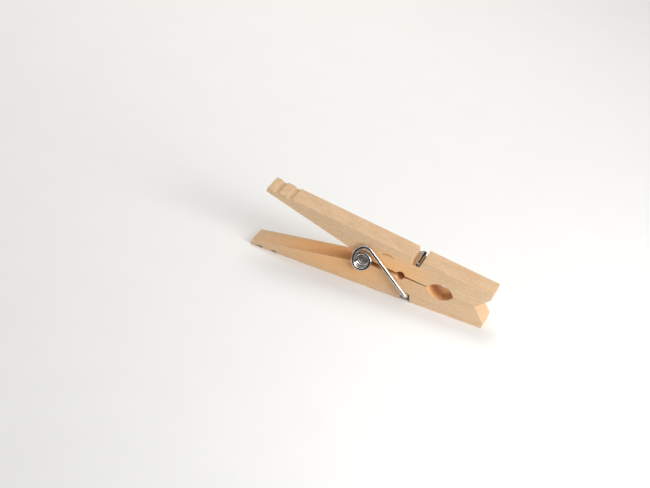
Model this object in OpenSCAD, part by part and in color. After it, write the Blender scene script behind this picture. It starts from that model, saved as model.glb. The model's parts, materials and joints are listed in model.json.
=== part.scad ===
// Sprung wooden clothespin: two equal wooden levers held together by one bent wire spring.
// The levers are drawn about the coil's axis: X runs towards the jaws, Z is square to the plane
// on which the jaws close, and Y runs along the coil. The closed pin then lies on one outer face.

/* [Levers] */
// Length from the coil's axis forward to the nose
nose_reach = 40; // [33:0.5:52]
// Length from the coil's axis back to the handle's end
handle_reach = 34; // [27:0.5:42]
// Width of a lever, along the coil
lever_w = 8.5; // [7:0.1:12]
// Height of the outer face over the closing plane, at the coil's axis
lever_t = 8.1; // [7:0.05:9.5]
// Angle at which the outer face falls towards the nose
outer_taper = 3.2; // [1:0.05:3.6]
// Height of the handle's inner face over the closing plane, at the coil's axis
handle_rise = 1; // [0.5:0.05:1.5]
// Thickness left at the handle's end
tip_t = 1.4; // [1:0.05:2]

/* [Jaws] */
// Length of the sloped mouth at the nose
mouth_l = 3.9; // [3:0.1:5]
// Height of the sloped mouth on each lever
mouth_h = 4.1; // [3:0.05:4.5]
// Length of the flat grip between the mouth and the line hole
grip_l = 6.95; // [5:0.05:9]
// Length of the line hole along the jaws
line_hole_l = 8.2; // [6:0.1:10]
// Depth of the line hole in each lever
line_hole_h = 2.4; // [1.5:0.1:2.8]
// Angle at which the faces part behind the line hole
relief_angle = 2.1; // [0.5:0.1:3]
// Distance from the coil's axis to the cord hole
cord_hole_x = 12.2; // [10:0.1:14]
// Radius of the cord hole
cord_hole_r = 1.3; // [0.8:0.05:1.6]

/* [Wire spring] */
// Diameter of the wire
wire_d = 1.15; // [0.9:0.05:1.4]
// Mean radius of the coil
coil_r = 2.25; // [1.9:0.05:2.7]
// Mean radius of the wide end loops along the pin
loop_rx = 3.2; // [3:0.05:4]
// Mean radius of the wide end loops from lever to lever
loop_rz = 4.2; // [3.3:0.05:4.5]
// Forward offset of an end loop from the coil's axis
loop_dx = 0.3; // [0:0.05:0.5]
// Offset of an end loop away from its own lever
loop_dz = 0.7; // [0.3:0.05:1]
// Inner angle over which an end loop narrows to the coil
flare_angle = 400; // [360:10:440]
// Angle of an end loop that lies flat beside the wood
flat_angle = 120; // [90:10:130]
// Radius of the bend from a leg into its slot
bend_r = 1; // [0.8:0.05:1.3]

/* [Spring slots] */
// Distance from the coil's axis to the slot's centre
slot_x = 15.6; // [14.5:0.1:20]
// Width of the slot's floor beyond the wire
slot_room = 1.1; // [0.5:0.1:1.6]
// Width that the two slanted walls add at the slot's mouth
slot_flare = 1.2; // [0.4:0.1:2]
// Depth of the slot beyond the wire
slot_cover = 1.25; // [0.5:0.05:1.5]

/* [Grip grooves] */
// Number of grip grooves on a handle
grip_count = 2; // [1:1:3]
// Land between the handle's end and the first groove
grip_land = 1.9; // [1.2:0.1:3]
// Distance from one groove to the next
grip_pitch = 4.4; // [3:0.1:6]
// Width of a groove
grip_w = 1.8; // [1:0.1:2.4]
// Depth of a groove
grip_depth = 0.5; // [0.2:0.05:0.6]

/* [Clearances] */
// Gap between the coil and its groove in the wood
groove_gap = 0.15; // [0.1:0.05:0.3]
// Gap between the wire and the side of a lever
side_gap = 0.4; // [0.3:0.05:0.8]
// Gap between the wire and the floor of its slot
seat_gap = 0.05; // [0.02:0.01:0.1]
// Least gap between the coil's turns
turn_gap = 0.08; // [0.05:0.01:0.2]
// Distance from a wire's cut end to the side of the lever
end_gap = 0.1; // [0:0.05:0.5]

/* [Hidden] */
$fn = 96;
eps = 1;                    // how far a cut runs past the face that it opens
wire_sides = 8;
rings_per_turn = 20;
bend_steps = 5;
groove_wall = 0.5;          // slant of a grip groove's rear wall
advance_start = 0.06;       // share of the coil over which its pitch builds up

// Height of a lever's outer face at a distance x ahead of the coil's axis
function outer_z(x) = lever_t - x * tan(outer_taper);
// Height of its inner face behind the line hole: the faces part from a line inside that hole
function relief_z(x) = (line_hole_x - line_hole_l / 4 - x) * tan(relief_angle);

mouth_x = nose_reach - mouth_l;
line_hole_x = mouth_x - grip_l - line_hole_l / 2;
line_hole_r = (pow(line_hole_l / 2, 2) + pow(line_hole_h, 2)) / (2 * line_hole_h);
handle_slope = (outer_z(-handle_reach) - tip_t - handle_rise) / handle_reach;
relief_slope = tan(relief_angle);
knee_x = (handle_rise - relief_z(0)) / (handle_slope - relief_slope);

slot_floor_w = wire_d + slot_room;
slot_depth = wire_d + slot_cover;
slot_floor_z = outer_z(slot_x) - slot_depth;
coil_groove_r = coil_r + wire_d / 2 + groove_gap;

// Where the closed pin lies: the lower lever's outer face on z = 0, the outline centred on x = 0
low_x = -handle_reach * cos(outer_taper) - outer_z(-handle_reach) * sin(outer_taper);
high_x = nose_reach * cos(outer_taper) + outer_z(nose_reach) * sin(outer_taper);
coil_pos = [-(low_x + high_x) / 2, 0, lever_t * cos(outer_taper)];

// The leg runs as a tangent from the oval end loop to its corner, under the wire's place in the slot
leg_y = lever_w / 2 + side_gap + wire_d / 2;
seat_x = slot_x + slot_floor_w / 2 - wire_d / 2 - slot_room / 5;
seat_z = slot_floor_z + seat_gap + wire_d / 2;
corner = [seat_x, -leg_y, -seat_z];
leg_v = [seat_x - loop_dx, -(seat_z + loop_dz) * loop_rx / loop_rz];
leg_phi = atan2(leg_v[1], leg_v[0]) + acos(loop_rx / norm(leg_v));
leg_top = [loop_dx + loop_rx * cos(leg_phi), -leg_y, loop_dz + loop_rz * sin(leg_phi)];
leg_dir = (corner - leg_top) / norm(corner - leg_top);

// Half the coil's angle, as a whole number of half turns, so that both ends match
fit_turns = leg_y / ((wire_d + turn_gap) * (1 - advance_start / 2));
half_turns = floor((fit_turns * 360 + leg_phi + flat_angle) / 180);
half_angle = 180 * half_turns - leg_phi;

function smooth(t) = t * t * (3 - 2 * t);
function unit(v) = v / norm(v);
function flip(p) = [p[0], -p[1], -p[2]];

// Share of the way along the coil: it starts gently and then goes evenly
function advance(u) = u <= 0 ? 0
    : (u < advance_start ? u * u / (2 * advance_start) : u - advance_start / 2) / (1 - advance_start / 2);

// Centre of the wire at an angle a from the lower leg: an end loop that narrows into a helix
function near_point(a) =
    let (s = 1 - smooth(min(1, a / flare_angle)),
         u = (a - flat_angle) / (half_angle - flat_angle))
    [loop_dx * s + (coil_r + (loop_rx - coil_r) * s) * cos(leg_phi + a),
     -leg_y * (1 - advance(u)),
     loop_dz * s + (coil_r + (loop_rz - coil_r) * s) * sin(leg_phi + a)];
function wire_point(a) = a <= half_angle ? near_point(a) : flip(near_point(2 * half_angle - a));

// A ring is a place, the direction of the wire and a side direction square to it
function loop_ring(a) =
    let (t = unit(wire_point(a + 1) - wire_point(a - 1)))
    [wire_point(a), t, unit(cross([0, 1, 0], t))];

// Rings of the lower leg: across the slot, round the bend, up the side and over the end loop
leg_steps = ceil(rings_per_turn * flat_angle / 360);
leg_side = cross([0, 1, 0], -leg_dir);
function bend_ring(b) =
    [corner + bend_r * (leg_dir * (cos(b) - 1) + [0, 1 - sin(b), 0]), -leg_dir * sin(b) - [0, cos(b), 0],
     leg_side];
leg_rings = concat(
    [[[seat_x, lever_w / 2 - end_gap, -seat_z], [0, -1, 0], leg_side]],
    [for (i = [0 : bend_steps]) bend_ring(90 * i / bend_steps)],
    [for (i = [0 : leg_steps]) loop_ring(flat_angle * i / leg_steps)]);
coil_angle = 2 * (half_angle - flat_angle);
coil_steps = round(coil_angle / 360 * rings_per_turn);
coil_rings = [for (i = [0 : coil_steps]) loop_ring(flat_angle + coil_angle * i / coil_steps)];

// A solid tube through a list of rings
module wire(rings) {
    last = len(rings) - 1;
    n = wire_sides;
    points = [for (q = rings, k = [0 : n - 1])
        q[0] + wire_d / 2 * (q[2] * cos(360 * k / n) + cross(q[1], q[2]) * sin(360 * k / n))];
    sides = [for (i = [0 : last - 1], k = [0 : n - 1])
        [i * n + k, i * n + (k + 1) % n, (i + 1) * n + (k + 1) % n, (i + 1) * n + k]];
    caps = [[for (k = [n - 1 : -1 : 0]) k], [for (k = [0 : n - 1]) last * n + k]];
    polyhedron(points, [for (f = concat(sides, caps)) [for (k = [len(f) - 1 : -1 : 0]) f[k]]]);
}

// Outline of a lever's blank, over the closing plane
module blank_outline() {
    polygon([
        [nose_reach, mouth_h],
        [mouth_x, 0],
        [line_hole_x - line_hole_l / 4, 0],
        [knee_x, relief_z(knee_x)],
        [-handle_reach, outer_z(-handle_reach) - tip_t],
        [-handle_reach, outer_z(-handle_reach)],
        [nose_reach, outer_z(nose_reach)]]);
}

// The slot's cross-section: a floor for the wire and two slanted walls
module slot_outline() {
    wall = slot_flare / 2;
    reach = slot_depth + eps;
    translate([slot_x, slot_floor_z])
        polygon([
            [-slot_floor_w / 2, 0],
            [slot_floor_w / 2, 0],
            [slot_floor_w / 2 + wall * reach / slot_depth, reach],
            [-slot_floor_w / 2 - wall * reach / slot_depth, reach]]);
}

// A grip groove: a slanted rear wall, a flat floor and an upright front wall
module grip_outline() {
    polygon([
        [0, 0],
        [groove_wall, -grip_depth],
        [grip_w, -grip_depth],
        [grip_w, eps],
        [-groove_wall * eps / grip_depth, eps]]);
}

module lever() {
    rotate([90, 0, 0])
        linear_extrude(lever_w, center = true)
            difference() {
                blank_outline();
                circle(coil_groove_r);
                translate([line_hole_x, line_hole_h - line_hole_r]) circle(line_hole_r);
                translate([cord_hole_x, 0]) circle(cord_hole_r);
                slot_outline();
                for (i = [0 : grip_count - 1]) {
                    grip_x = -handle_reach + grip_land + i * grip_pitch;
                    translate([grip_x, outer_z(grip_x)]) rotate(-outer_taper) grip_outline();
                }
            }
}

// Turns the closed pin from its closing plane onto its lower outer face
module lay_down() {
    translate(coil_pos) rotate([0, outer_taper, 0]) children();
}

module lever_lower() {
    color("burlywood") lay_down() rotate([180, 0, 0]) lever();
}

module lever_upper() {
    color("wheat") lay_down() lever();
}

module spring_coil() {
    color("silver") lay_down() wire(coil_rings);
}

module spring_leg_lower() {
    color("lightsteelblue") lay_down() wire(leg_rings);
}

module spring_leg_upper() {
    color("slategray") lay_down() rotate([180, 0, 0]) wire(leg_rings);
}

lever_lower();
lever_upper();
spring_coil();
spring_leg_lower();
spring_leg_upper();
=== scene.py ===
"""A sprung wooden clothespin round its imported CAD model: two birch levers and one bent wire spring."""

import json
import math

import bpy
import numpy as np
from bpy.props import FloatProperty, FloatVectorProperty, PointerProperty
from mathutils import Matrix, Vector

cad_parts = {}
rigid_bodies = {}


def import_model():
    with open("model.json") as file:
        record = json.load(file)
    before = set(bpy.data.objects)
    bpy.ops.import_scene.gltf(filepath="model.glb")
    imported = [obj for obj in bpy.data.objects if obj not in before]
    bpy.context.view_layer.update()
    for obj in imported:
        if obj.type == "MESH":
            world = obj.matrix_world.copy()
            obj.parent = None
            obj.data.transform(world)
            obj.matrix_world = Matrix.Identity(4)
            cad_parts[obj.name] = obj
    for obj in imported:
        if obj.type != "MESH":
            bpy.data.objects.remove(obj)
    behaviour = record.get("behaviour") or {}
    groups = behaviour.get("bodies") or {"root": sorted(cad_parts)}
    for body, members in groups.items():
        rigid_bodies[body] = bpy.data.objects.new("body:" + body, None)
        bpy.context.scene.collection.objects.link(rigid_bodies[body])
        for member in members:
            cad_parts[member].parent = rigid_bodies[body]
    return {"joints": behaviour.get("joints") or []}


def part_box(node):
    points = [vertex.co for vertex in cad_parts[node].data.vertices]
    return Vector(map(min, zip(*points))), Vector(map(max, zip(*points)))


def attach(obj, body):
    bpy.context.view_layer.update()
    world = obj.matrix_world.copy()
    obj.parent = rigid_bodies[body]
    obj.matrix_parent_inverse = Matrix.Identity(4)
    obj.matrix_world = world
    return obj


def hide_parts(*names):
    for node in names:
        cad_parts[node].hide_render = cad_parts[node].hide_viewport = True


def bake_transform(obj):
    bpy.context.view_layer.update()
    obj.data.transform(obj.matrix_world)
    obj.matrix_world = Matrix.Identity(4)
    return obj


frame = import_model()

bl_info = {
    "name": "Sprung clothespin",
    "version": (1, 0, 0),
    "blender": (4, 5, 0),
    "location": "View3D > Sidebar > Clothespin",
    "description": "Wooden clothespin with a torsion spring, and a pale table to show it on",
    "category": "Object",
}

MM = 0.001

# How finely the wood is divided: along its outline, round its edges, across its width and round its holes.
# The side strip is the part of the width that is left to the rounded edges.
OUTLINE_STEP = 0.5 * MM
EDGE_POINTS = 6
WIDTH_POINTS = 7
SIDE_STRIP = 0.45 * MM
ARCH_STEPS = {"coil": 40, "cord": 18, "line": 40}

# How finely the wire is divided: round it, along each stretch of a leg, and in degrees along the coil.
WIRE_SIDES = 32
LEG_STEPS = {"straight": 24, "bend": 18, "rise": 29, "loop": 45}
COIL_STEP = 4

BORED_WITHIN = 0.02 * MM  # a point this near to a cut circle lies on its wall
SIDE_RUB = 0.35           # how far the two flat sides are rubbed, where 1 is the middle of an edge
SEAT_SHARE = 1 / 5        # share of a slot's play that is left in front of the wire
PITCH_EASE = 0.06         # share of the coil over which its pitch builds up

COIL_AXIS = np.array(frame["joints"][0]["pos_m"])
LOWER, UPPER = frame["joints"][0]["parent"], frame["joints"][0]["child"]
LEVER_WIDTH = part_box("lever_upper")[1].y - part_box("lever_upper")[0].y


def length(name, millimetres, description):
    """A size in metres, given in millimetres."""
    return FloatProperty(
        name=name, description=description, default=millimetres * MM,
        min=0.0, soft_max=0.1, precision=5, unit="LENGTH")


def turn(name, degrees, description):
    """An angle, given in degrees."""
    return FloatProperty(
        name=name, description=description, default=math.radians(degrees), unit="ROTATION")


def share(name, default, description):
    """A plain number from nought to one."""
    return FloatProperty(name=name, description=description, default=default, min=0.0, max=1.0)


def colour(name, default, description):
    """A colour in linear light."""
    return FloatVectorProperty(
        name=name, description=description, default=default, size=3, min=0.0, max=1.0, subtype="COLOR")


class LeverSizes(bpy.types.PropertyGroup):
    """Sizes of one lever, from the coil's axis and from the plane on which the jaws close."""

    nose_reach: length("Nose reach", 40, "From the coil's axis forward to the nose")
    handle_reach: length("Handle reach", 34, "From the coil's axis back to the handle's end")
    width: length("Width", LEVER_WIDTH / MM, "Width of the lever along the coil")
    thickness: length("Thickness", 8.1, "Outer face over the closing plane, at the coil's axis")
    taper: turn("Taper", 3.2, "Angle at which the outer face falls towards the nose")
    handle_rise: length("Handle rise", 1, "Handle's inner face over the closing plane, at the coil")
    tip: length("Tip", 1.4, "Thickness left at the handle's end")
    mouth_length: length("Mouth length", 3.9, "Length of the sloped mouth at the nose")
    mouth_height: length("Mouth height", 4.1, "Height of the sloped mouth")
    grip_length: length("Grip length", 6.95, "Flat grip between the mouth and the line hole")
    line_hole_length: length("Line hole length", 8.2, "Length of the line hole along the jaws")
    line_hole_height: length("Line hole depth", 2.4, "Depth of the line hole in a lever")
    relief: turn("Relief", 2.1, "Angle at which the faces part behind the line hole")
    cord_hole_place: length("Cord hole place", 12.2, "From the coil's axis to the cord hole")
    cord_hole_radius: length("Cord hole radius", 1.3, "Radius of the cord hole")
    slot_place: length("Slot place", 15.6, "From the coil's axis to the middle of the wire's slot")
    slot_floor: length("Slot floor", 2.25, "Width of the slot's floor")
    slot_depth: length("Slot depth", 2.4, "Depth of the slot")
    slot_flare: length("Slot flare", 1.2, "Width that the slanted walls add at the slot's mouth")
    coil_groove: length("Coil groove", 2.975, "Radius of the groove round the coil")
    groove_land: length("Groove land", 1.9, "From the handle's end to the first grip groove")
    groove_pitch: length("Groove pitch", 4.4, "From one grip groove to the next")
    groove_width: length("Groove width", 1.8, "Width of a grip groove")
    groove_depth: length("Groove depth", 0.5, "Depth of a grip groove")
    corner: length("Corner", 0.2, "Radius of the broken corners along the outline")
    edge: length("Edge", 0.1, "Radius of the rubbed edges at the two sides")


class SpringSizes(bpy.types.PropertyGroup):
    """Sizes of the wire spring, from the coil's axis."""

    wire: length("Wire", 1.15, "Diameter of the wire")
    coil: length("Coil", 2.25, "Mean radius of the coil")
    loop_length: length("Loop length", 3.2, "Mean radius of an end loop along the pin")
    loop_height: length("Loop height", 4.2, "Mean radius of an end loop from lever to lever")
    loop_ahead: length("Loop ahead", 0.3, "Forward offset of an end loop")
    loop_away: length("Loop away", 0.7, "Offset of an end loop away from its own lever")
    flare: turn("Flare", 400, "Angle over which an end loop narrows to the coil")
    flat: turn("Flat", 120, "Angle of an end loop that lies flat beside the wood")
    bend: length("Bend", 1, "Radius of the bend from a leg into its slot")
    side_gap: length("Side gap", 0.4, "Gap between the wire and the side of a lever")
    seat_gap: length("Seat gap", 0.05, "Gap between the wire and the floor of its slot")
    turn_gap: length("Turn gap", 0.08, "Least gap between the coil's turns")
    end_gap: length("End gap", 0.1, "From a cut end to the side of the lever")
    burr: length("Burr", 0.14, "Rounding of a cut end")


class WoodLooks(bpy.types.PropertyGroup):
    """Colours of the birch, and of the warm bounce light painted onto it."""

    pale: colour("Pale wood", (0.69, 0.48, 0.295), "Early wood")
    deep: colour("Deep wood", (0.54, 0.33, 0.17), "Late wood and the deeper patches")
    fleck: colour("Fleck", (0.33, 0.16, 0.065), "Short flecks and open pores")
    streak: colour("Streak", (0.50, 0.20, 0.05), "Mineral streaks")
    # Painted warm bounce light: this orange tints a patch round the jaws' inner faces and the bored walls, in
    # place of light bounced off the wood.
    painted_glow: colour("Painted warm glow", (0.83, 0.43, 0.15), "Painted warm bounce light, on the inner faces and the bored walls")
    worn: colour("Worn edge", (0.77, 0.60, 0.43), "Wood fibres rubbed up along the edges")


class WireLooks(bpy.types.PropertyGroup):
    """Finish of the zinc plated wire."""

    metal: colour("Metal", (0.86, 0.85, 0.83), "Plating")
    dull: colour("Dull metal", (0.52, 0.50, 0.47), "Plating gone dull in the draw lines")
    gloss: share("Roughness", 0.13, "Roughness of the bright plating")


class ClothespinSettings(bpy.types.PropertyGroup):
    """Everything that the clothespin's panel shows."""

    lever: PointerProperty(type=LeverSizes)
    spring: PointerProperty(type=SpringSizes)
    wood: PointerProperty(type=WoodLooks)
    wire: PointerProperty(type=WireLooks)


# ---- Surfaces ----


def unit(vectors):
    """Each vector over its own length."""
    return vectors / np.linalg.norm(vectors, axis=-1, keepdims=True)


def grid_faces(rows, columns):
    """Four-sided faces of a grid whose columns close on themselves: each joins a point, the next one in its
    row, and the same two in the next row."""
    row, column = np.meshgrid(np.arange(rows - 1), np.arange(columns), indexing="ij")
    beside = (column + 1) % columns
    corners = [row * columns + column, row * columns + beside,
               (row + 1) * columns + beside, (row + 1) * columns + column]
    return np.stack(corners, -1).reshape(-1, 4)


def closed_surface(name, points, outward):
    """A piece from a grid of points (rows, columns, 3): the grid closes along its columns, and its first and
    last rows are each closed by one flat face, the last two of the mesh. outward gives the surface's
    direction at each point."""
    rows, columns = points.shape[:2]
    faces = grid_faces(rows, columns).tolist()
    first = np.arange(columns)
    ends = [first[::-1].tolist(), (first + (rows - 1) * columns).tolist()]
    mesh = bpy.data.meshes.new(name)
    mesh.from_pydata(points.reshape(-1, 3), [], faces + ends)
    smooth = np.ones(len(mesh.polygons), bool)
    smooth[-2:] = False
    mesh.polygons.foreach_set("use_smooth", smooth)
    mesh.update()
    mesh.normals_split_custom_set_from_vertices(outward.reshape(-1, 3))
    piece = bpy.data.objects.new(name, mesh)
    bpy.context.scene.collection.objects.link(piece)
    return piece


def add_attribute(piece, name, values):
    """Stores a number, or a vector of three, at every point of a piece."""
    vector = values.shape[-1] == 3 and values.ndim == 3
    made = piece.data.attributes.new(name, "FLOAT_VECTOR" if vector else "FLOAT", "POINT")
    made.data.foreach_set("vector" if vector else "value", values.astype(np.float32).ravel())


def lay(points, sizes, upside_down):
    """Places points that are drawn about the coil's axis: the lower half is turned half a turn about the
    pin's length, and the closed pin is tipped by the taper onto its outer face."""
    if upside_down:
        points = points * [1, -1, -1]
    c, s = math.cos(sizes.taper), math.sin(sizes.taper)
    tipped = np.array([[c, 0, s], [0, 1, 0], [-s, 0, c]])
    return points @ tipped.T


# ---- Levers ----


def meet(circle, line, side):
    """Where a circle (x, z, radius) crosses a line (height at x = 0, fall): the root of their shared
    quadratic, at the rear for side -1 and in front for side 1."""
    (x, z, radius), (height, fall) = circle, line
    a, b = 1 + fall * fall, x + fall * (height - z)
    c = x * x + (height - z) ** 2 - radius * radius
    place = (b + side * math.sqrt(b * b - a * c)) / a
    return np.array([place, height - fall * place])


def arch(circle, start, end, steps, corner):
    """Points on a circle from start over its top to end, at even angles. Only its two ends are rounded."""
    centre = np.array(circle[:2])
    first, last = (math.atan2(*(p - centre)[::-1]) for p in (start, end))
    angle = np.linspace(first, last, steps + 1)
    points = centre + circle[2] * np.stack([np.cos(angle), np.sin(angle)], -1)
    radii = np.zeros(steps + 1)
    radii[[0, -1]] = corner
    return points, radii


def lever_corners(s):
    """The lever's outline about the coil's axis, a rounding radius for every corner, and the circles that
    are cut into it: along the inner face from the handle to the nose, up the nose, and back outside."""
    fine = 0.75 * s.corner
    fall = math.tan(s.taper)

    def outer(x):
        return np.array([x, s.thickness - x * fall])

    mouth = s.nose_reach - s.mouth_length
    hole_x = mouth - s.grip_length - s.line_hole_length / 2
    half = s.line_hole_length / 2
    hole_radius = (half ** 2 + s.line_hole_height ** 2) / (2 * s.line_hole_height)
    relief_fall = math.tan(s.relief)
    relief = ((hole_x - half / 2) * relief_fall, relief_fall)
    tip = outer(-s.handle_reach)
    handle = (s.handle_rise, (tip[1] - s.tip - s.handle_rise) / s.handle_reach)
    coil = (0.0, 0.0, s.coil_groove)
    cord = (s.cord_hole_place, 0.0, s.cord_hole_radius)
    line = (hole_x, s.line_hole_height - hole_radius, hole_radius)

    lean = s.slot_flare / 2 / s.slot_depth
    floor_z = outer(s.slot_place)[1] - s.slot_depth
    walls = []
    for side in (1, -1):
        foot = s.slot_place + side * s.slot_floor / 2
        top = (s.thickness - fall * (foot - side * lean * floor_z)) / (1 + side * fall * lean)
        walls.append(np.array([[foot + side * lean * (top - floor_z), top], [foot, floor_z]]))

    grooves = []
    along, inward = unit(np.array([1, -fall])), unit(np.array([-fall, -1]))
    for k in (1, 0):
        foot = outer(-s.handle_reach + s.groove_land + k * s.groove_pitch)
        steps = np.array([[s.groove_width, 0], [s.groove_width, s.groove_depth],
                          [s.groove_depth, s.groove_depth], [0, 0]])
        grooves.append(foot + steps[:, :1] * along + steps[:, 1:] * inward)

    def plain(points, corner):
        points = np.array(points)
        return points, np.full(len(points), corner)

    parts = [
        plain([tip - [0, s.tip]], s.corner),
        arch(coil, meet(coil, handle, -1), meet(coil, relief, 1), ARCH_STEPS["coil"], fine),
        arch(cord, meet(cord, relief, -1), meet(cord, relief, 1), ARCH_STEPS["cord"], fine),
        arch(line, meet(line, relief, -1), meet(line, (0.0, 0.0), 1), ARCH_STEPS["line"], fine),
        plain([[mouth, 0], [s.nose_reach, s.mouth_height], outer(s.nose_reach)], s.corner),
        plain(walls[0], fine), plain(walls[1][::-1], fine),
        plain(np.concatenate(grooves), fine),
        plain([tip], s.corner),
    ]
    circles = np.array([coil, cord, line])
    return np.concatenate([p[0] for p in parts]), np.concatenate([p[1] for p in parts]), circles


def round_corners(points, radii, steps=5):
    """Every corner with a radius becomes an arc that touches both of its sides; the arc's centre stands off
    along the corner's bisector by the radius over the sine of half the corner's angle."""
    back, ahead = unit(np.roll(points, 1, 0) - points), unit(np.roll(points, -1, 0) - points)
    half = np.arccos(np.clip((back * ahead).sum(-1), -1, 1))[:, None] / 2
    reach = radii[:, None] / np.tan(half)
    middle = points + unit(back + ahead + 1e-12) * radii[:, None] / np.sin(half)
    start, end = points + back * reach - middle, points + ahead * reach - middle
    swing = np.maximum(math.pi - 2 * half, 1e-9)
    t = np.linspace(0, 1, steps + 1)
    arcs = (start[:, None] * np.sin((1 - t) * swing)[..., None]
            + end[:, None] * np.sin(t * swing)[..., None]) / np.sin(swing)[..., None]
    arcs = np.where(radii[:, None, None] > 0, arcs + middle[:, None], points[:, None])
    kept = np.ones(arcs.shape[:2], bool)
    kept[radii == 0, 1:] = False
    return arcs[kept]


def fill_in(points, step):
    """Adds points at even steps along every side that is longer than a step."""
    ahead = np.roll(points, -1, 0) - points
    counts = np.ceil(np.linalg.norm(ahead, axis=1) / step).astype(int)
    side = np.repeat(np.arange(len(points)), counts)
    place = np.arange(counts.sum()) - np.repeat(np.cumsum(counts) - counts, counts)
    return points[side] + ahead[side] * (place / counts[side])[:, None]


def outline_directions(points):
    """The outward direction at each point of an outline, and the mitre along which it shrinks evenly."""
    ahead = unit(np.roll(points, -1, 0) - points)
    after = np.stack([ahead[:, 1], -ahead[:, 0]], -1)
    before = np.roll(after, 1, 0)
    mitre = (before + after) / (1 + (before * after).sum(-1, keepdims=True))
    chord = np.roll(points, -1, 0) - np.roll(points, 1, 0)
    return unit(np.stack([chord[:, 1], -chord[:, 0]], -1)), mitre


def ripple(distance, seed):
    """A smooth uneven line between about -1 and 1: five sines whose lengths share no common measure."""
    lengths = np.array([23.1, 9.7, 4.3, 2.11, 1.07]) * MM
    weights = np.array([0.30, 0.26, 0.20, 0.14, 0.10])
    starts = seed * np.array([1.3, 2.9, 0.7, 4.1, 5.3])
    return np.sin(2 * math.pi * distance[:, None] / lengths + starts) @ weights


def lever(name, sizes, upside_down, seed):
    """A lever: its outline is carried across the width, and a quarter round of slightly uneven radius takes
    it in at both sides. With an angle f from the face to the side, the outline shrinks by e(1 - cos f) and
    its place across the width moves in by e(1 - sin f)."""
    corners, radii, circles = lever_corners(sizes)
    outline = fill_in(round_corners(corners, radii), OUTLINE_STEP)
    off = np.linalg.norm(outline[:, None] - circles[:, :2], axis=-1) - circles[:, 2]
    bored = (np.abs(off).min(1) < BORED_WITHIN).astype(float)
    outward, mitre = outline_directions(outline)
    walked = np.cumsum(np.linalg.norm(np.diff(outline, axis=0, prepend=outline[-1:]), axis=1))
    rounding = np.linspace(math.pi / 2, 0, EDGE_POINTS)
    columns = []
    for side, shift in ((-1, 0.0), (1, 2.2)):
        e = sizes.edge * (1 + 0.3 * ripple(walked, seed + shift))
        f = rounding if side < 0 else rounding[::-1]
        y = side * (sizes.width / 2 - e[None] * (1 - np.sin(f))[:, None])
        columns.append((y, e[None] * (1 - np.cos(f))[:, None], side * np.sin(f), np.cos(f)))
    inner = np.linspace(-1, 1, WIDTH_POINTS)[:, None] * (sizes.width / 2 - SIDE_STRIP) + 0 * walked[None]
    y = np.concatenate([columns[0][0], inner, columns[1][0]])
    inset = np.concatenate([columns[0][1], 0 * inner, columns[1][1]])
    across = np.concatenate([columns[0][2], np.zeros(len(inner)), columns[1][2]])
    facing = np.concatenate([columns[0][3], np.ones(len(inner)), columns[1][3]])
    flat = outline[None] - mitre[None] * inset[..., None]
    points = np.stack([flat[..., 0], y, flat[..., 1]], -1)
    normals = np.stack([facing[:, None] * outward[None, :, 0],
                        across[:, None] + 0 * y,
                        facing[:, None] * outward[None, :, 1]], -1)
    rubbed = (1 - np.abs(2 * np.abs(across) - 1)[:, None]) + 0 * y
    rubbed[[0, -1]] = SIDE_RUB
    end_grain = np.abs(outward[None, :, 0]) * facing[:, None]
    points, normals = lay(points, sizes, upside_down) + COIL_AXIS, lay(normals, sizes, upside_down)
    piece = closed_surface(name, points[::-1], normals[::-1])
    for kind, values in (("rubbed", rubbed), ("end_grain", end_grain), ("bored", bored * facing[:, None])):
        add_attribute(piece, kind, values[::-1])
    return piece


# ---- Spring ----


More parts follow.
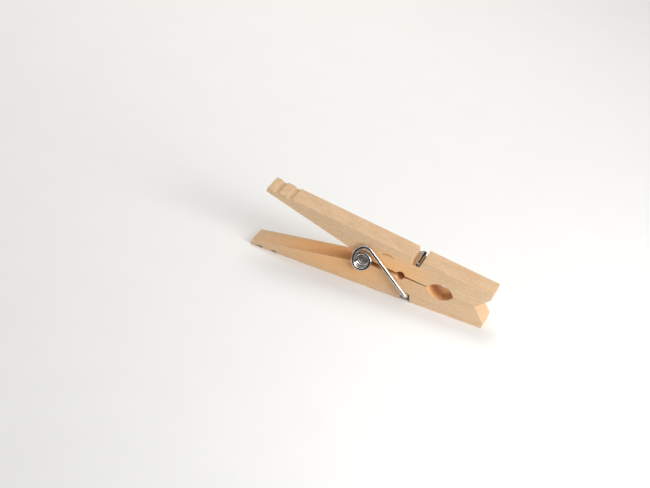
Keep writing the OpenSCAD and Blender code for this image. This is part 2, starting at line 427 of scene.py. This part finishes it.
class WirePath:
    """The line of the wire about the coil's axis, worked out from the spring's sizes."""

    def __init__(self, spring, wood):
        self.s = spring
        fall = math.tan(wood.taper)
        self.side = wood.width / 2 + spring.side_gap + spring.wire / 2
        slot_floor = wood.thickness - wood.slot_place * fall - wood.slot_depth
        play = wood.slot_floor - spring.wire
        self.seat_x = wood.slot_place + play * (1 / 2 - SEAT_SHARE)
        self.seat_z = slot_floor + spring.seat_gap + spring.wire / 2
        self.free_end = wood.width / 2 - spring.end_gap
        self.corner = np.array([self.seat_x, -self.side, -self.seat_z])
        aim = np.array([self.seat_x - spring.loop_ahead,
                        -(self.seat_z + spring.loop_away) * spring.loop_length / spring.loop_height])
        self.start = (math.atan2(aim[1], aim[0])
                      + math.acos(spring.loop_length / np.linalg.norm(aim)))
        self.top = np.array([spring.loop_ahead + spring.loop_length * math.cos(self.start), -self.side,
                             spring.loop_away + spring.loop_height * math.sin(self.start)])
        self.leg = unit(self.corner - self.top)
        turns = self.side / ((spring.wire + spring.turn_gap) * (1 - PITCH_EASE / 2))
        halves = math.floor((turns * 2 * math.pi + self.start + spring.flat) / math.pi)
        self.half = math.pi * halves - self.start

    def near(self, a):
        """Near half of the coil at angles a from the leg: an oval end loop that narrows into a round helix,
        with s falling smoothly from 1 to 0, whose pitch builds up gently."""
        k = self.s
        t = np.clip(a / k.flare, 0, 1)
        s = 1 - t * t * (3 - 2 * t)
        u = np.clip((a - k.flat) / (self.half - k.flat), 0, 1)
        gone = np.where(u < PITCH_EASE, u * u / (2 * PITCH_EASE), u - PITCH_EASE / 2) / (1 - PITCH_EASE / 2)
        angle = self.start + a
        return np.stack([k.loop_ahead * s + (k.coil + (k.loop_length - k.coil) * s) * np.cos(angle),
                         -self.side * (1 - gone),
                         k.loop_away * s + (k.coil + (k.loop_height - k.coil) * s) * np.sin(angle)], -1)

    def at(self, a):
        """The whole coil: its far half is the near half turned half a turn about the pin's length."""
        far = self.near(2 * self.half - a) * [1, -1, -1]
        return np.where((a <= self.half)[:, None], self.near(a), far)

    def rings(self, a):
        """Centre, direction and side direction of the wire at angles a of the coil."""
        step = math.radians(0.5)
        along = unit(self.at(a + step) - self.at(a - step))
        return self.at(a), along, unit(np.cross([0, 1, 0], along))

    def leg_rings(self):
        """The lower leg: straight across its slot, round the bend, up the side and over the end loop."""
        s = self.s
        side = np.cross([0, 1, 0], -self.leg)
        across = np.array([0, -1.0, 0])
        mouth = self.corner + s.bend * np.array([0, 1.0, 0])
        places = np.linspace(0, 1, LEG_STEPS["straight"] + 1)[:-1, None]
        end = np.array([self.seat_x, self.free_end, -self.seat_z])
        straight = end + (mouth - end) * places
        b = np.linspace(0, math.pi / 2, LEG_STEPS["bend"] + 1)[:, None]
        bend = self.corner + s.bend * (self.leg * (np.cos(b) - 1) + [0, 1, 0] * (1 - np.sin(b)))
        bend_along = -self.leg * np.sin(b) + across * np.cos(b)
        last = bend[-1]
        rise = last + (self.top - last) * np.linspace(0, 1, LEG_STEPS["rise"] + 1)[1:-1, None]
        loop, loop_along, loop_side = self.rings(np.linspace(0, s.flat, LEG_STEPS["loop"] + 1))
        centres = np.concatenate([straight, bend, rise, loop])
        along = np.concatenate([straight * 0 + across, bend_along, rise * 0 - self.leg, loop_along])
        sides = np.concatenate([np.tile(side, (len(centres) - len(loop), 1)), loop_side])
        return centres, along, sides


def walk(centres):
    """The way along a line of points, from its first point to each of them."""
    return np.cumsum(np.linalg.norm(np.diff(centres, axis=0, prepend=centres[:1]), axis=1))


def tube(name, rings, sizes, wood, upside_down=False, cut_start=False, lead=None):
    """Round wire along its rings: a circle carried along the path. A cut end is rounded by a quarter turn:
    with an angle f, its radius shrinks by b(1 - cos f) and its place moves in by b(1 - sin f). lead is the
    length of a leg at either end; the draw lines then run on from both legs and meet halfway."""
    centres, along, sides = rings
    walked = walk(centres)
    hand = np.ones(len(centres))
    if lead is not None:
        hand = np.where(walked < walked[-1] / 2, 1.0, -1.0)
        walked = lead + np.minimum(walked, walked[-1] - walked)
    radius = np.full(len(centres), sizes.wire / 2)
    lean = np.zeros(len(centres))
    cut = np.zeros(len(centres))
    if cut_start:
        f = np.linspace(math.pi / 2, 0, EDGE_POINTS)[:, None]
        ends = centres[0] + along[0] * sizes.burr * (1 - np.sin(f))
        centres = np.concatenate([ends, centres[1:]])
        along = np.concatenate([np.tile(along[0], (EDGE_POINTS, 1)), along[1:]])
        sides = np.concatenate([np.tile(sides[0], (EDGE_POINTS, 1)), sides[1:]])
        radius = np.concatenate([sizes.wire / 2 - sizes.burr * (1 - np.cos(f[:, 0])), radius[1:]])
        walked = np.concatenate([sizes.burr * (1 - np.sin(f[:, 0])), walked[1:]])
        lean = np.concatenate([f[:, 0], lean[1:]])
        cut = np.concatenate([np.sin(f[:, 0]), cut[1:]])
        hand = np.ones(len(centres))
    angle = np.linspace(0, 2 * math.pi, WIRE_SIDES, endpoint=False)
    third = np.cross(along, sides)
    spoke = (np.cos(angle)[None, :, None] * sides[:, None] + np.sin(angle)[None, :, None] * third[:, None])
    points = centres[:, None] + radius[:, None, None] * spoke
    normals = np.cos(lean)[:, None, None] * spoke - np.sin(lean)[:, None, None] * along[:, None]
    drawn = np.stack([np.cos(angle)[None] + 0 * walked[:, None], np.sin(angle)[None] * hand[:, None],
                      walked[:, None] / MM + 0 * angle[None]], -1)
    piece = closed_surface(
        name, lay(points, wood, upside_down) + COIL_AXIS, lay(normals, wood, upside_down))
    add_attribute(piece, "drawn", drawn)
    add_attribute(piece, "cut", cut[:, None] + 0 * angle[None])
    return piece


# ---- Finishes ----


def _operator(operation, swapped=False):
    """An operator on levels that adds one Math node."""
    def made(self, other):
        return self.finish.math(operation, *((other, self) if swapped else (self, other)))
    return made


class Level:
    """A number that changes over a surface. Its operators add Math nodes."""

    def __init__(self, finish, socket):
        self.finish, self.socket = finish, socket

    __add__, __radd__ = _operator("ADD"), _operator("ADD", True)
    __mul__, __rmul__ = _operator("MULTIPLY"), _operator("MULTIPLY", True)
    __sub__, __truediv__ = _operator("SUBTRACT"), _operator("DIVIDE")


class Finish:
    """A procedural material in the making."""

    def __init__(self, name):
        self.material = bpy.data.materials.new(name)
        self.material.use_nodes = True
        self.tree = self.material.node_tree
        self.tree.nodes.clear()

    def node(self, kind, settings=(), sockets=()):
        """Adds a node: its settings first, then the values or links of its sockets."""
        made = self.tree.nodes.new(kind)
        for key, value in dict(settings).items():
            setattr(made, key, value)
        for key, value in dict(sockets).items():
            value = getattr(value, "socket", value)
            if isinstance(value, bpy.types.NodeSocket):
                self.tree.links.new(value, made.inputs[key])
            else:
                made.inputs[key].default_value = value
        return made

    def math(self, operation, *terms):
        """A level from one Math node."""
        made = self.node("ShaderNodeMath", {"operation": operation}, dict(enumerate(terms)))
        return Level(self, made.outputs[0])

    def vector(self, operation, *terms):
        """A vector from one Vector Math node."""
        made = self.node("ShaderNodeVectorMath", {"operation": operation}, dict(enumerate(terms)))
        return made.outputs["Vector"]

    def distance(self, vector, place, reach):
        """How far a vector is from a place, as a share of a reach along each axis."""
        near = self.vector("DIVIDE", self.vector("SUBTRACT", vector, place), reach)
        made = self.node("ShaderNodeVectorMath", {"operation": "LENGTH"}, {0: near})
        return Level(self, made.outputs["Value"])

    def noise(self, vector, stretch, detail=2.0, roughness=0.5):
        """Smooth noise about 0.5; stretch gives how many waves fit in a millimetre along each axis."""
        made = self.node("ShaderNodeTexNoise", {"noise_dimensions": "3D"}, {
            "Vector": self.vector("MULTIPLY", vector, stretch),
            "Scale": 1.0, "Detail": detail, "Roughness": roughness})
        return Level(self, made.outputs["Fac"])

    def rise(self, level, low, high):
        """A smooth step from 0 at low to 1 at high; it falls instead where low is over high."""
        made = self.node("ShaderNodeMapRange", {"interpolation_type": "SMOOTHSTEP"}, {
            "Value": level, "From Min": low, "From Max": high})
        return Level(self, made.outputs["Result"])

    def attribute(self, name, output="Fac"):
        """A level or a vector stored in the piece."""
        made = self.node("ShaderNodeAttribute", {"attribute_type": "GEOMETRY", "attribute_name": name})
        return Level(self, made.outputs[output]) if output == "Fac" else made.outputs[output]

    def paint(self, share, below, above):
        """One colour laid over another by a share."""
        made = self.node("ShaderNodeMix", {"data_type": "RGBA", "clamp_factor": True}, {
            0: share, 6: below, 7: above})
        return made.outputs[2]

    def close(self, height, bump, **sockets):
        """The surface shader with its relief, joined to the output."""
        relief = self.node("ShaderNodeBump", {}, {"Height": height, "Distance": bump, "Strength": 1.0})
        named = {key.replace("_", " "): value for key, value in sockets.items()}
        shader = self.node("ShaderNodeBsdfPrincipled", {}, {**named, "Normal": relief.outputs["Normal"]})
        self.node("ShaderNodeOutputMaterial", {}, {"Surface": shader.outputs["BSDF"]})
        return self.material


def solid(rgb):
    """A colour with full cover."""
    return (*rgb, 1.0)


def birch(name, looks, offset, spin, pith, painted_glow, marks=(), streak=None):
    """Birch, sawn and tumbled: growth rings round a pith that lies beside the lever, long fibres, short
    flecks, open pores and fine saw marks. offset and spin move the lever to another place in its log, and
    the argument after pith places a patch of painted warm bounce light. The same orange is painted on the
    bored walls as painted bounce light. marks are single dark flecks, and streak is a mineral streak."""
    f = Finish(name)
    place = f.node("ShaderNodeTexCoord").outputs["Object"]
    here = f.node("ShaderNodeMapping", {}, {"Vector": place, "Scale": (1 / MM,) * 3}).outputs["Vector"]
    log = f.node("ShaderNodeMapping", {}, {
        "Vector": here, "Location": offset, "Rotation": spin}).outputs["Vector"]

    broad = f.noise(log, (0.035, 0.16, 0.16), 2.0)
    warp = f.noise(log, (0.03, 0.10, 0.10), 1.0)
    fibres = f.noise(log, (0.30, 6.5, 6.5), 3.0, 0.6)
    long_lines = f.noise(log, (0.06, 2.2, 2.2), 2.0)
    short = f.noise(log, (1.5, 8.0, 8.0), 1.0)
    crowd = f.noise(log, (0.25, 0.5, 0.5), 1.0)
    pores = f.noise(log, (0.8, 15.0, 15.0), 0.0)
    grit = f.noise(log, (5.0, 9.0, 9.0), 2.0, 0.65)
    fuzz = f.noise(log, (0.8, 2.0, 2.0), 3.0, 0.7)
    rubbed, end_grain, bored = f.attribute("rubbed"), f.attribute("end_grain"), f.attribute("bored")

    rings = f.distance(log, (0, *pith), (1e6, 1.25, 1.25)) + warp * 3.2
    late = f.math("FRACT", rings)
    late = f.rise(late, 0.15, 0.8) * f.rise(late, 1.0, 0.8)
    flecks = f.rise(short + (crowd - 0.5) * 0.30, 0.66, 0.74)
    dots = f.rise(pores, 0.68, 0.76)

    depth = 0.30 + (broad - 0.5) * 0.8 + late * 0.22 + (fibres - 0.5) * 0.55 + (long_lines - 0.5) * 0.9
    base = f.paint(depth, solid(looks.pale), solid(looks.deep))
    base = f.paint(f.rise(fuzz, 0.45, 0.75) * 0.45, base, solid(looks.worn))
    base = f.paint(f.rise(fuzz, 0.5, 0.3) * 0.28, base, solid(looks.deep))
    base = f.paint(end_grain * (0.04 + 0.14 * grit), base, solid(looks.deep))
    # Painted warm bounce light: a soft orange patch where light bounced from the wood would warm the shaded
    # inner faces.
    glow_patch = f.rise(f.distance(here, *painted_glow) + (warp - 0.5) * 0.6, 1.1, 0.2)
    base = f.paint(glow_patch * 0.95, base, solid(looks.painted_glow))
    # Painted warm bounce light on the walls of the coil groove, cord hole and line hole, where light through
    # the hole and off the wood would warm them.
    base = f.paint(bored * (0.4 + 0.3 * grit), base, solid(looks.painted_glow))
    base = f.paint(flecks * 0.55, base, solid(looks.fleck))
    base = f.paint(dots * (0.16 + 0.30 * end_grain), base, solid(looks.fleck))
    base = f.paint(rubbed * (0.15 + 0.75 * grit), base, solid(looks.worn))
    for centre, reach, strength in marks:
        spot = f.rise(f.distance(here, centre, reach) + (grit - 0.5) * 0.5, 1.1, 0.5)
        base = f.paint(spot * strength, base, solid(looks.fleck))
    if streak:
        centre, reach, bow = streak
        off = f.vector("SUBTRACT", here, centre)
        parts = f.node("ShaderNodeSeparateXYZ", {}, {0: off})
        x, y, z = (Level(f, parts.outputs[k]) for k in range(3))
        bowed = (z + x * x * bow + (warp - 0.5) * 0.4) / reach[2]
        line = (f.rise(f.math("ABSOLUTE", bowed), 1.0, 0.15)
                * f.rise(f.math("ABSOLUTE", x / reach[0]), 1.0, 0.6))
        base = f.paint(line * f.rise(y, reach[1], 0.0), base, solid(looks.streak))

    split = f.node("ShaderNodeSeparateXYZ", {}, {0: log})
    saw = f.math("SINE", Level(f, split.outputs[0]) * 13.0 + warp * 40.0 + grit * 1.5)
    height = (fibres * 0.55 + long_lines * 0.35 + grit * (0.25 + 0.5 * end_grain)
              - flecks * 0.55 - dots * 0.25 + saw * (crowd - 0.42) * 0.28)
    roughness = 0.60 + (fibres - 0.5) * 0.22 + 0.10 * end_grain - 0.05 * rubbed
    return f.close(height, 0.035 * MM, Base_Color=base, Roughness=roughness, Specular_IOR_Level=0.42)


def zinc_wire(name, looks):
    """Bright plated wire: draw lines along its length, faint haze and a grey sheared end."""
    f = Finish(name)
    drawn = f.attribute("drawn", "Vector")
    cut = f.attribute("cut")
    lines = f.noise(drawn, (7.0, 7.0, 0.22), 2.0, 0.6)
    haze = f.noise(drawn, (0.9, 0.9, 0.6), 3.0, 0.6)
    scratch = f.rise(f.noise(drawn, (16.0, 16.0, 0.5), 1.0), 0.64, 0.72)
    torn = f.noise(drawn, (9.0, 9.0, 9.0), 2.0)
    dull = (lines - 0.5) * 0.4 + (haze - 0.42) * 0.6 + scratch * 0.15 + cut * 0.6
    base = f.paint(dull, solid(looks.metal), solid(looks.dull))
    roughness = looks.gloss + (haze - 0.5) * 0.10 + scratch * 0.06 + cut * (0.2 + 0.2 * torn)
    height = lines * 0.5 - scratch * 0.5 + cut * torn * 3.0
    return f.close(height, 0.0015 * MM, Base_Color=base, Roughness=roughness, Metallic=1.0)


def tabletop(name):
    """Matt pale laminate with the faintest mottle."""
    f = Finish(name)
    place = f.node("ShaderNodeTexCoord").outputs["Object"]
    mottle = f.noise(place, (60.0, 60.0, 60.0), 3.0)
    base = f.paint(mottle, solid((0.85, 0.85, 0.845)), solid((0.88, 0.88, 0.875)))
    return f.close(mottle, 0.01 * MM, Base_Color=base, Roughness=0.85, Specular_IOR_Level=0.0)


# ---- Operators ----


class CLOTHESPIN_OT_levers(bpy.types.Operator):
    """Make the two birch levers"""

    bl_idname = "clothespin.levers"
    bl_label = "Make the levers"

    def execute(self, context):
        settings = context.scene.clothespin
        marks = [((-18.2, -4.2, 16.1), (0.22, 0.5, 0.17), 0.8), ((27.7, 0.4, 12.8), (0.55, 0.2, 0.3), 0.75),
                 ((29.7, -1.1, 12.6), (0.35, 0.16, 0.3), 0.7), ((21.4, 3.1, 13.5), (0.3, 0.14, 0.3), 0.6),
                 ((24.6, 1.7, 13.1), (0.22, 0.12, 0.3), 0.6), ((31.4, 1.1, 12.4), (0.4, 0.12, 0.3), 0.5)]
        streak = ((4.15, -4.25, 12.42), (2.2, 0.8, 0.32), 0.12)
        upper = lever("lever_upper_birch", settings.lever, False, 1.0)
        # The tuple after the pith in each birch call places that lever's patch of painted warm bounce light.
        upper.data.materials.append(birch(
            "birch_upper", settings.wood, (31.0, 5.0, 2.0), (0.3, 0.01, 0.012), (16.0, -21.0),
            ((2.0, -3.0, 9.0), (20.0, 9.0, 5.5)), marks, streak))
        lower = lever("lever_lower_birch", settings.lever, True, 4.0)
        lower.data.materials.append(birch(
            "birch_lower", settings.wood, (-57.0, -12.0, 9.0), (-0.5, -0.012, 0.008), (-19.0, 17.0),
            ((-7.0, 0.0, 5.0), (32.0, 12.0, 7.0))))
        for piece, body, node in ((upper, UPPER, "lever_upper"), (lower, LOWER, "lever_lower")):
            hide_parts(node)
            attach(piece, body)
        return {"FINISHED"}


class CLOTHESPIN_OT_spring(bpy.types.Operator):
    """Make the wire spring: the coil and its two legs"""

    bl_idname = "clothespin.spring"
    bl_label = "Make the spring"

    def execute(self, context):
        settings = context.scene.clothespin
        sizes, wood = settings.spring, settings.lever
        path = WirePath(sizes, wood)
        finish = zinc_wire("zinc_wire", settings.wire)
        sweep = 2 * path.half - sizes.flat
        steps = round(math.degrees(sweep - sizes.flat) / COIL_STEP)
        coil = tube("spring_coil_wire", path.rings(np.linspace(sizes.flat, sweep, steps + 1)), sizes, wood,
                    lead=walk(path.leg_rings()[0])[-1])
        legs = [tube(f"spring_leg_{name}_wire", path.leg_rings(), sizes, wood, flipped, True)
                for name, flipped in (("lower", False), ("upper", True))]
        for piece, node in zip([coil, *legs], ("spring_coil", "spring_leg_lower", "spring_leg_upper")):
            piece.data.materials.append(finish)
            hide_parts(node)
        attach(legs[0], LOWER)
        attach(legs[1], UPPER)
        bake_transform(coil)
        return {"FINISHED"}


class CLOTHESPIN_OT_stage(bpy.types.Operator):
    """Lay the pale table, and set the lights and the camera"""

    bl_idname = "clothespin.stage"
    bl_label = "Set the stage"

    def execute(self, context):
        scene = context.scene
        self.table(scene)
        self.card(scene)
        self.lights(scene)
        self.camera(scene)
        scene.view_settings.view_transform = "Standard"
        return {"FINISHED"}

    def table(self, scene):
        """A round table: rings of points whose radius grows evenly."""
        reach, rings, spokes = 3.0, 12, 64
        radius = np.linspace(0.0, reach, rings + 1)[1:]
        angle = np.linspace(0, 2 * math.pi, spokes, endpoint=False)
        points = np.stack([radius[:, None] * np.cos(angle), radius[:, None] * np.sin(angle),
                           0 * radius[:, None] * angle], -1)
        mesh = bpy.data.meshes.new("table")
        faces = grid_faces(len(radius), len(angle))[:, ::-1].tolist()
        mesh.from_pydata(points.reshape(-1, 3), [], faces + [list(range(spokes))])
        mesh.materials.append(tabletop("pale_table"))
        floor = bpy.data.objects.new("table", mesh)
        scene.collection.objects.link(floor)

    def card(self, scene):
        """Dark felt that only gloss sees: low in front of the pin, up behind the camera, and at the back. It
        puts dark lines in the bright wire."""
        card = bpy.data.meshes.new("dark_card")
        profile = [(-0.010, 0.0006), (-0.8, 0.02), (-0.8, 0.50), (0.8, 0.02), (0.8, 0.7)]
        card.from_pydata([(x, y, z) for y, z in profile for x in (-1.2, 1.2)], [],
                         [(0, 1, 3, 2), (2, 3, 5, 4), (6, 7, 9, 8)])
        f = Finish("dark_felt")
        weave = f.noise(f.node("ShaderNodeTexCoord").outputs["Object"], (300.0, 300.0, 300.0))
        felt = f.paint(weave, solid((0.015, 0.014, 0.013)), solid((0.03, 0.028, 0.026)))
        card.materials.append(f.close(weave, 0.1 * MM, Base_Color=felt, Roughness=0.9))
        screen = bpy.data.objects.new("dark_card", card)
        scene.collection.objects.link(screen)
        screen.visible_camera = screen.visible_diffuse = screen.visible_shadow = False

    def lights(self, scene):
        """Soft boxes that face the clothespin, in an even pale surround."""
        world = bpy.data.worlds.new("pale_room")
        world.use_nodes = True
        back = world.node_tree.nodes["Background"]
        back.inputs["Color"].default_value = (0.98, 0.99, 1.0, 1.0)
        back.inputs["Strength"].default_value = 0.42
        scene.world = world
        boxes = [("right_box", (0.26, -0.10, 0.11), 0.18, 0.86, (1.0, 0.985, 0.97)),
                 ("back_box", (-0.10, 0.25, 0.36), 0.25, 0.85, (1.0, 0.95, 0.88)),
                 ("front_box", (0.40, -0.38, 0.52), 0.55, 0.8, (0.98, 0.99, 1.0))]
        for name, place, size, watts, tint in boxes:
            light = bpy.data.lights.new(name, "AREA")
            light.size, light.energy, light.color = size, watts, tint
            lamp = bpy.data.objects.new(name, light)
            lamp.location = place
            lamp.rotation_mode = "QUATERNION"
            lamp.rotation_quaternion = (-Vector(place)).to_track_quat("-Z", "Y")
            lamp.visible_camera = False
            scene.collection.objects.link(lamp)

    def camera(self, scene):
        """A long lens that looks down on the pin from the jaws' side, rolled so that the handles rise."""
        lens = bpy.data.cameras.new("camera")
        lens.sensor_fit = "HORIZONTAL"
        lens.sensor_width = 36.0
        lens.lens = 117.07
        lens.clip_start, lens.clip_end = 0.05, 20.0
        camera = bpy.data.objects.new("camera", lens)
        right = Vector((0.92277, 0.31636, 0.22004)).normalized()
        ahead = Vector((-0.18547, 0.86512, -0.46601)).normalized()
        up = right.cross(ahead)
        place = Vector((101.584, -548.518, 301.863)) * MM
        camera.matrix_world = Matrix([
            (right.x, up.x, -ahead.x, place.x), (right.y, up.y, -ahead.y, place.y),
            (right.z, up.z, -ahead.z, place.z), (0, 0, 0, 1)])
        scene.collection.objects.link(camera)
        scene.camera = camera


class CLOTHESPIN_PT_panel(bpy.types.Panel):
    """The clothespin's sizes, finishes and steps, in the 3D view's sidebar"""

    bl_idname = "CLOTHESPIN_PT_panel"
    bl_label = "Clothespin"
    bl_space_type = "VIEW_3D"
    bl_region_type = "UI"
    bl_category = "Clothespin"

    def draw(self, context):
        settings = context.scene.clothespin
        for step in STEPS:
            self.layout.operator(step.bl_idname)
        for group in (settings.lever, settings.spring, settings.wood, settings.wire):
            box = self.layout.box()
            for name in group.__annotations__:
                box.prop(group, name)


STEPS = (CLOTHESPIN_OT_levers, CLOTHESPIN_OT_spring, CLOTHESPIN_OT_stage)
CLASSES = (LeverSizes, SpringSizes, WoodLooks, WireLooks, ClothespinSettings, *STEPS, CLOTHESPIN_PT_panel)


def register():
    """Makes the classes and the scene's settings known."""
    for made in CLASSES:
        bpy.utils.register_class(made)
    bpy.types.Scene.clothespin = PointerProperty(type=ClothespinSettings)


def unregister():
    """Takes them back."""
    del bpy.types.Scene.clothespin
    for made in reversed(CLASSES):
        bpy.utils.unregister_class(made)


def main():
    """Builds the clothespin and its stage."""
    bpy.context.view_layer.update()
    register()
    bpy.ops.clothespin.levers()
    bpy.ops.clothespin.spring()
    bpy.ops.clothespin.stage()


if __name__ == "__main__":
    main()
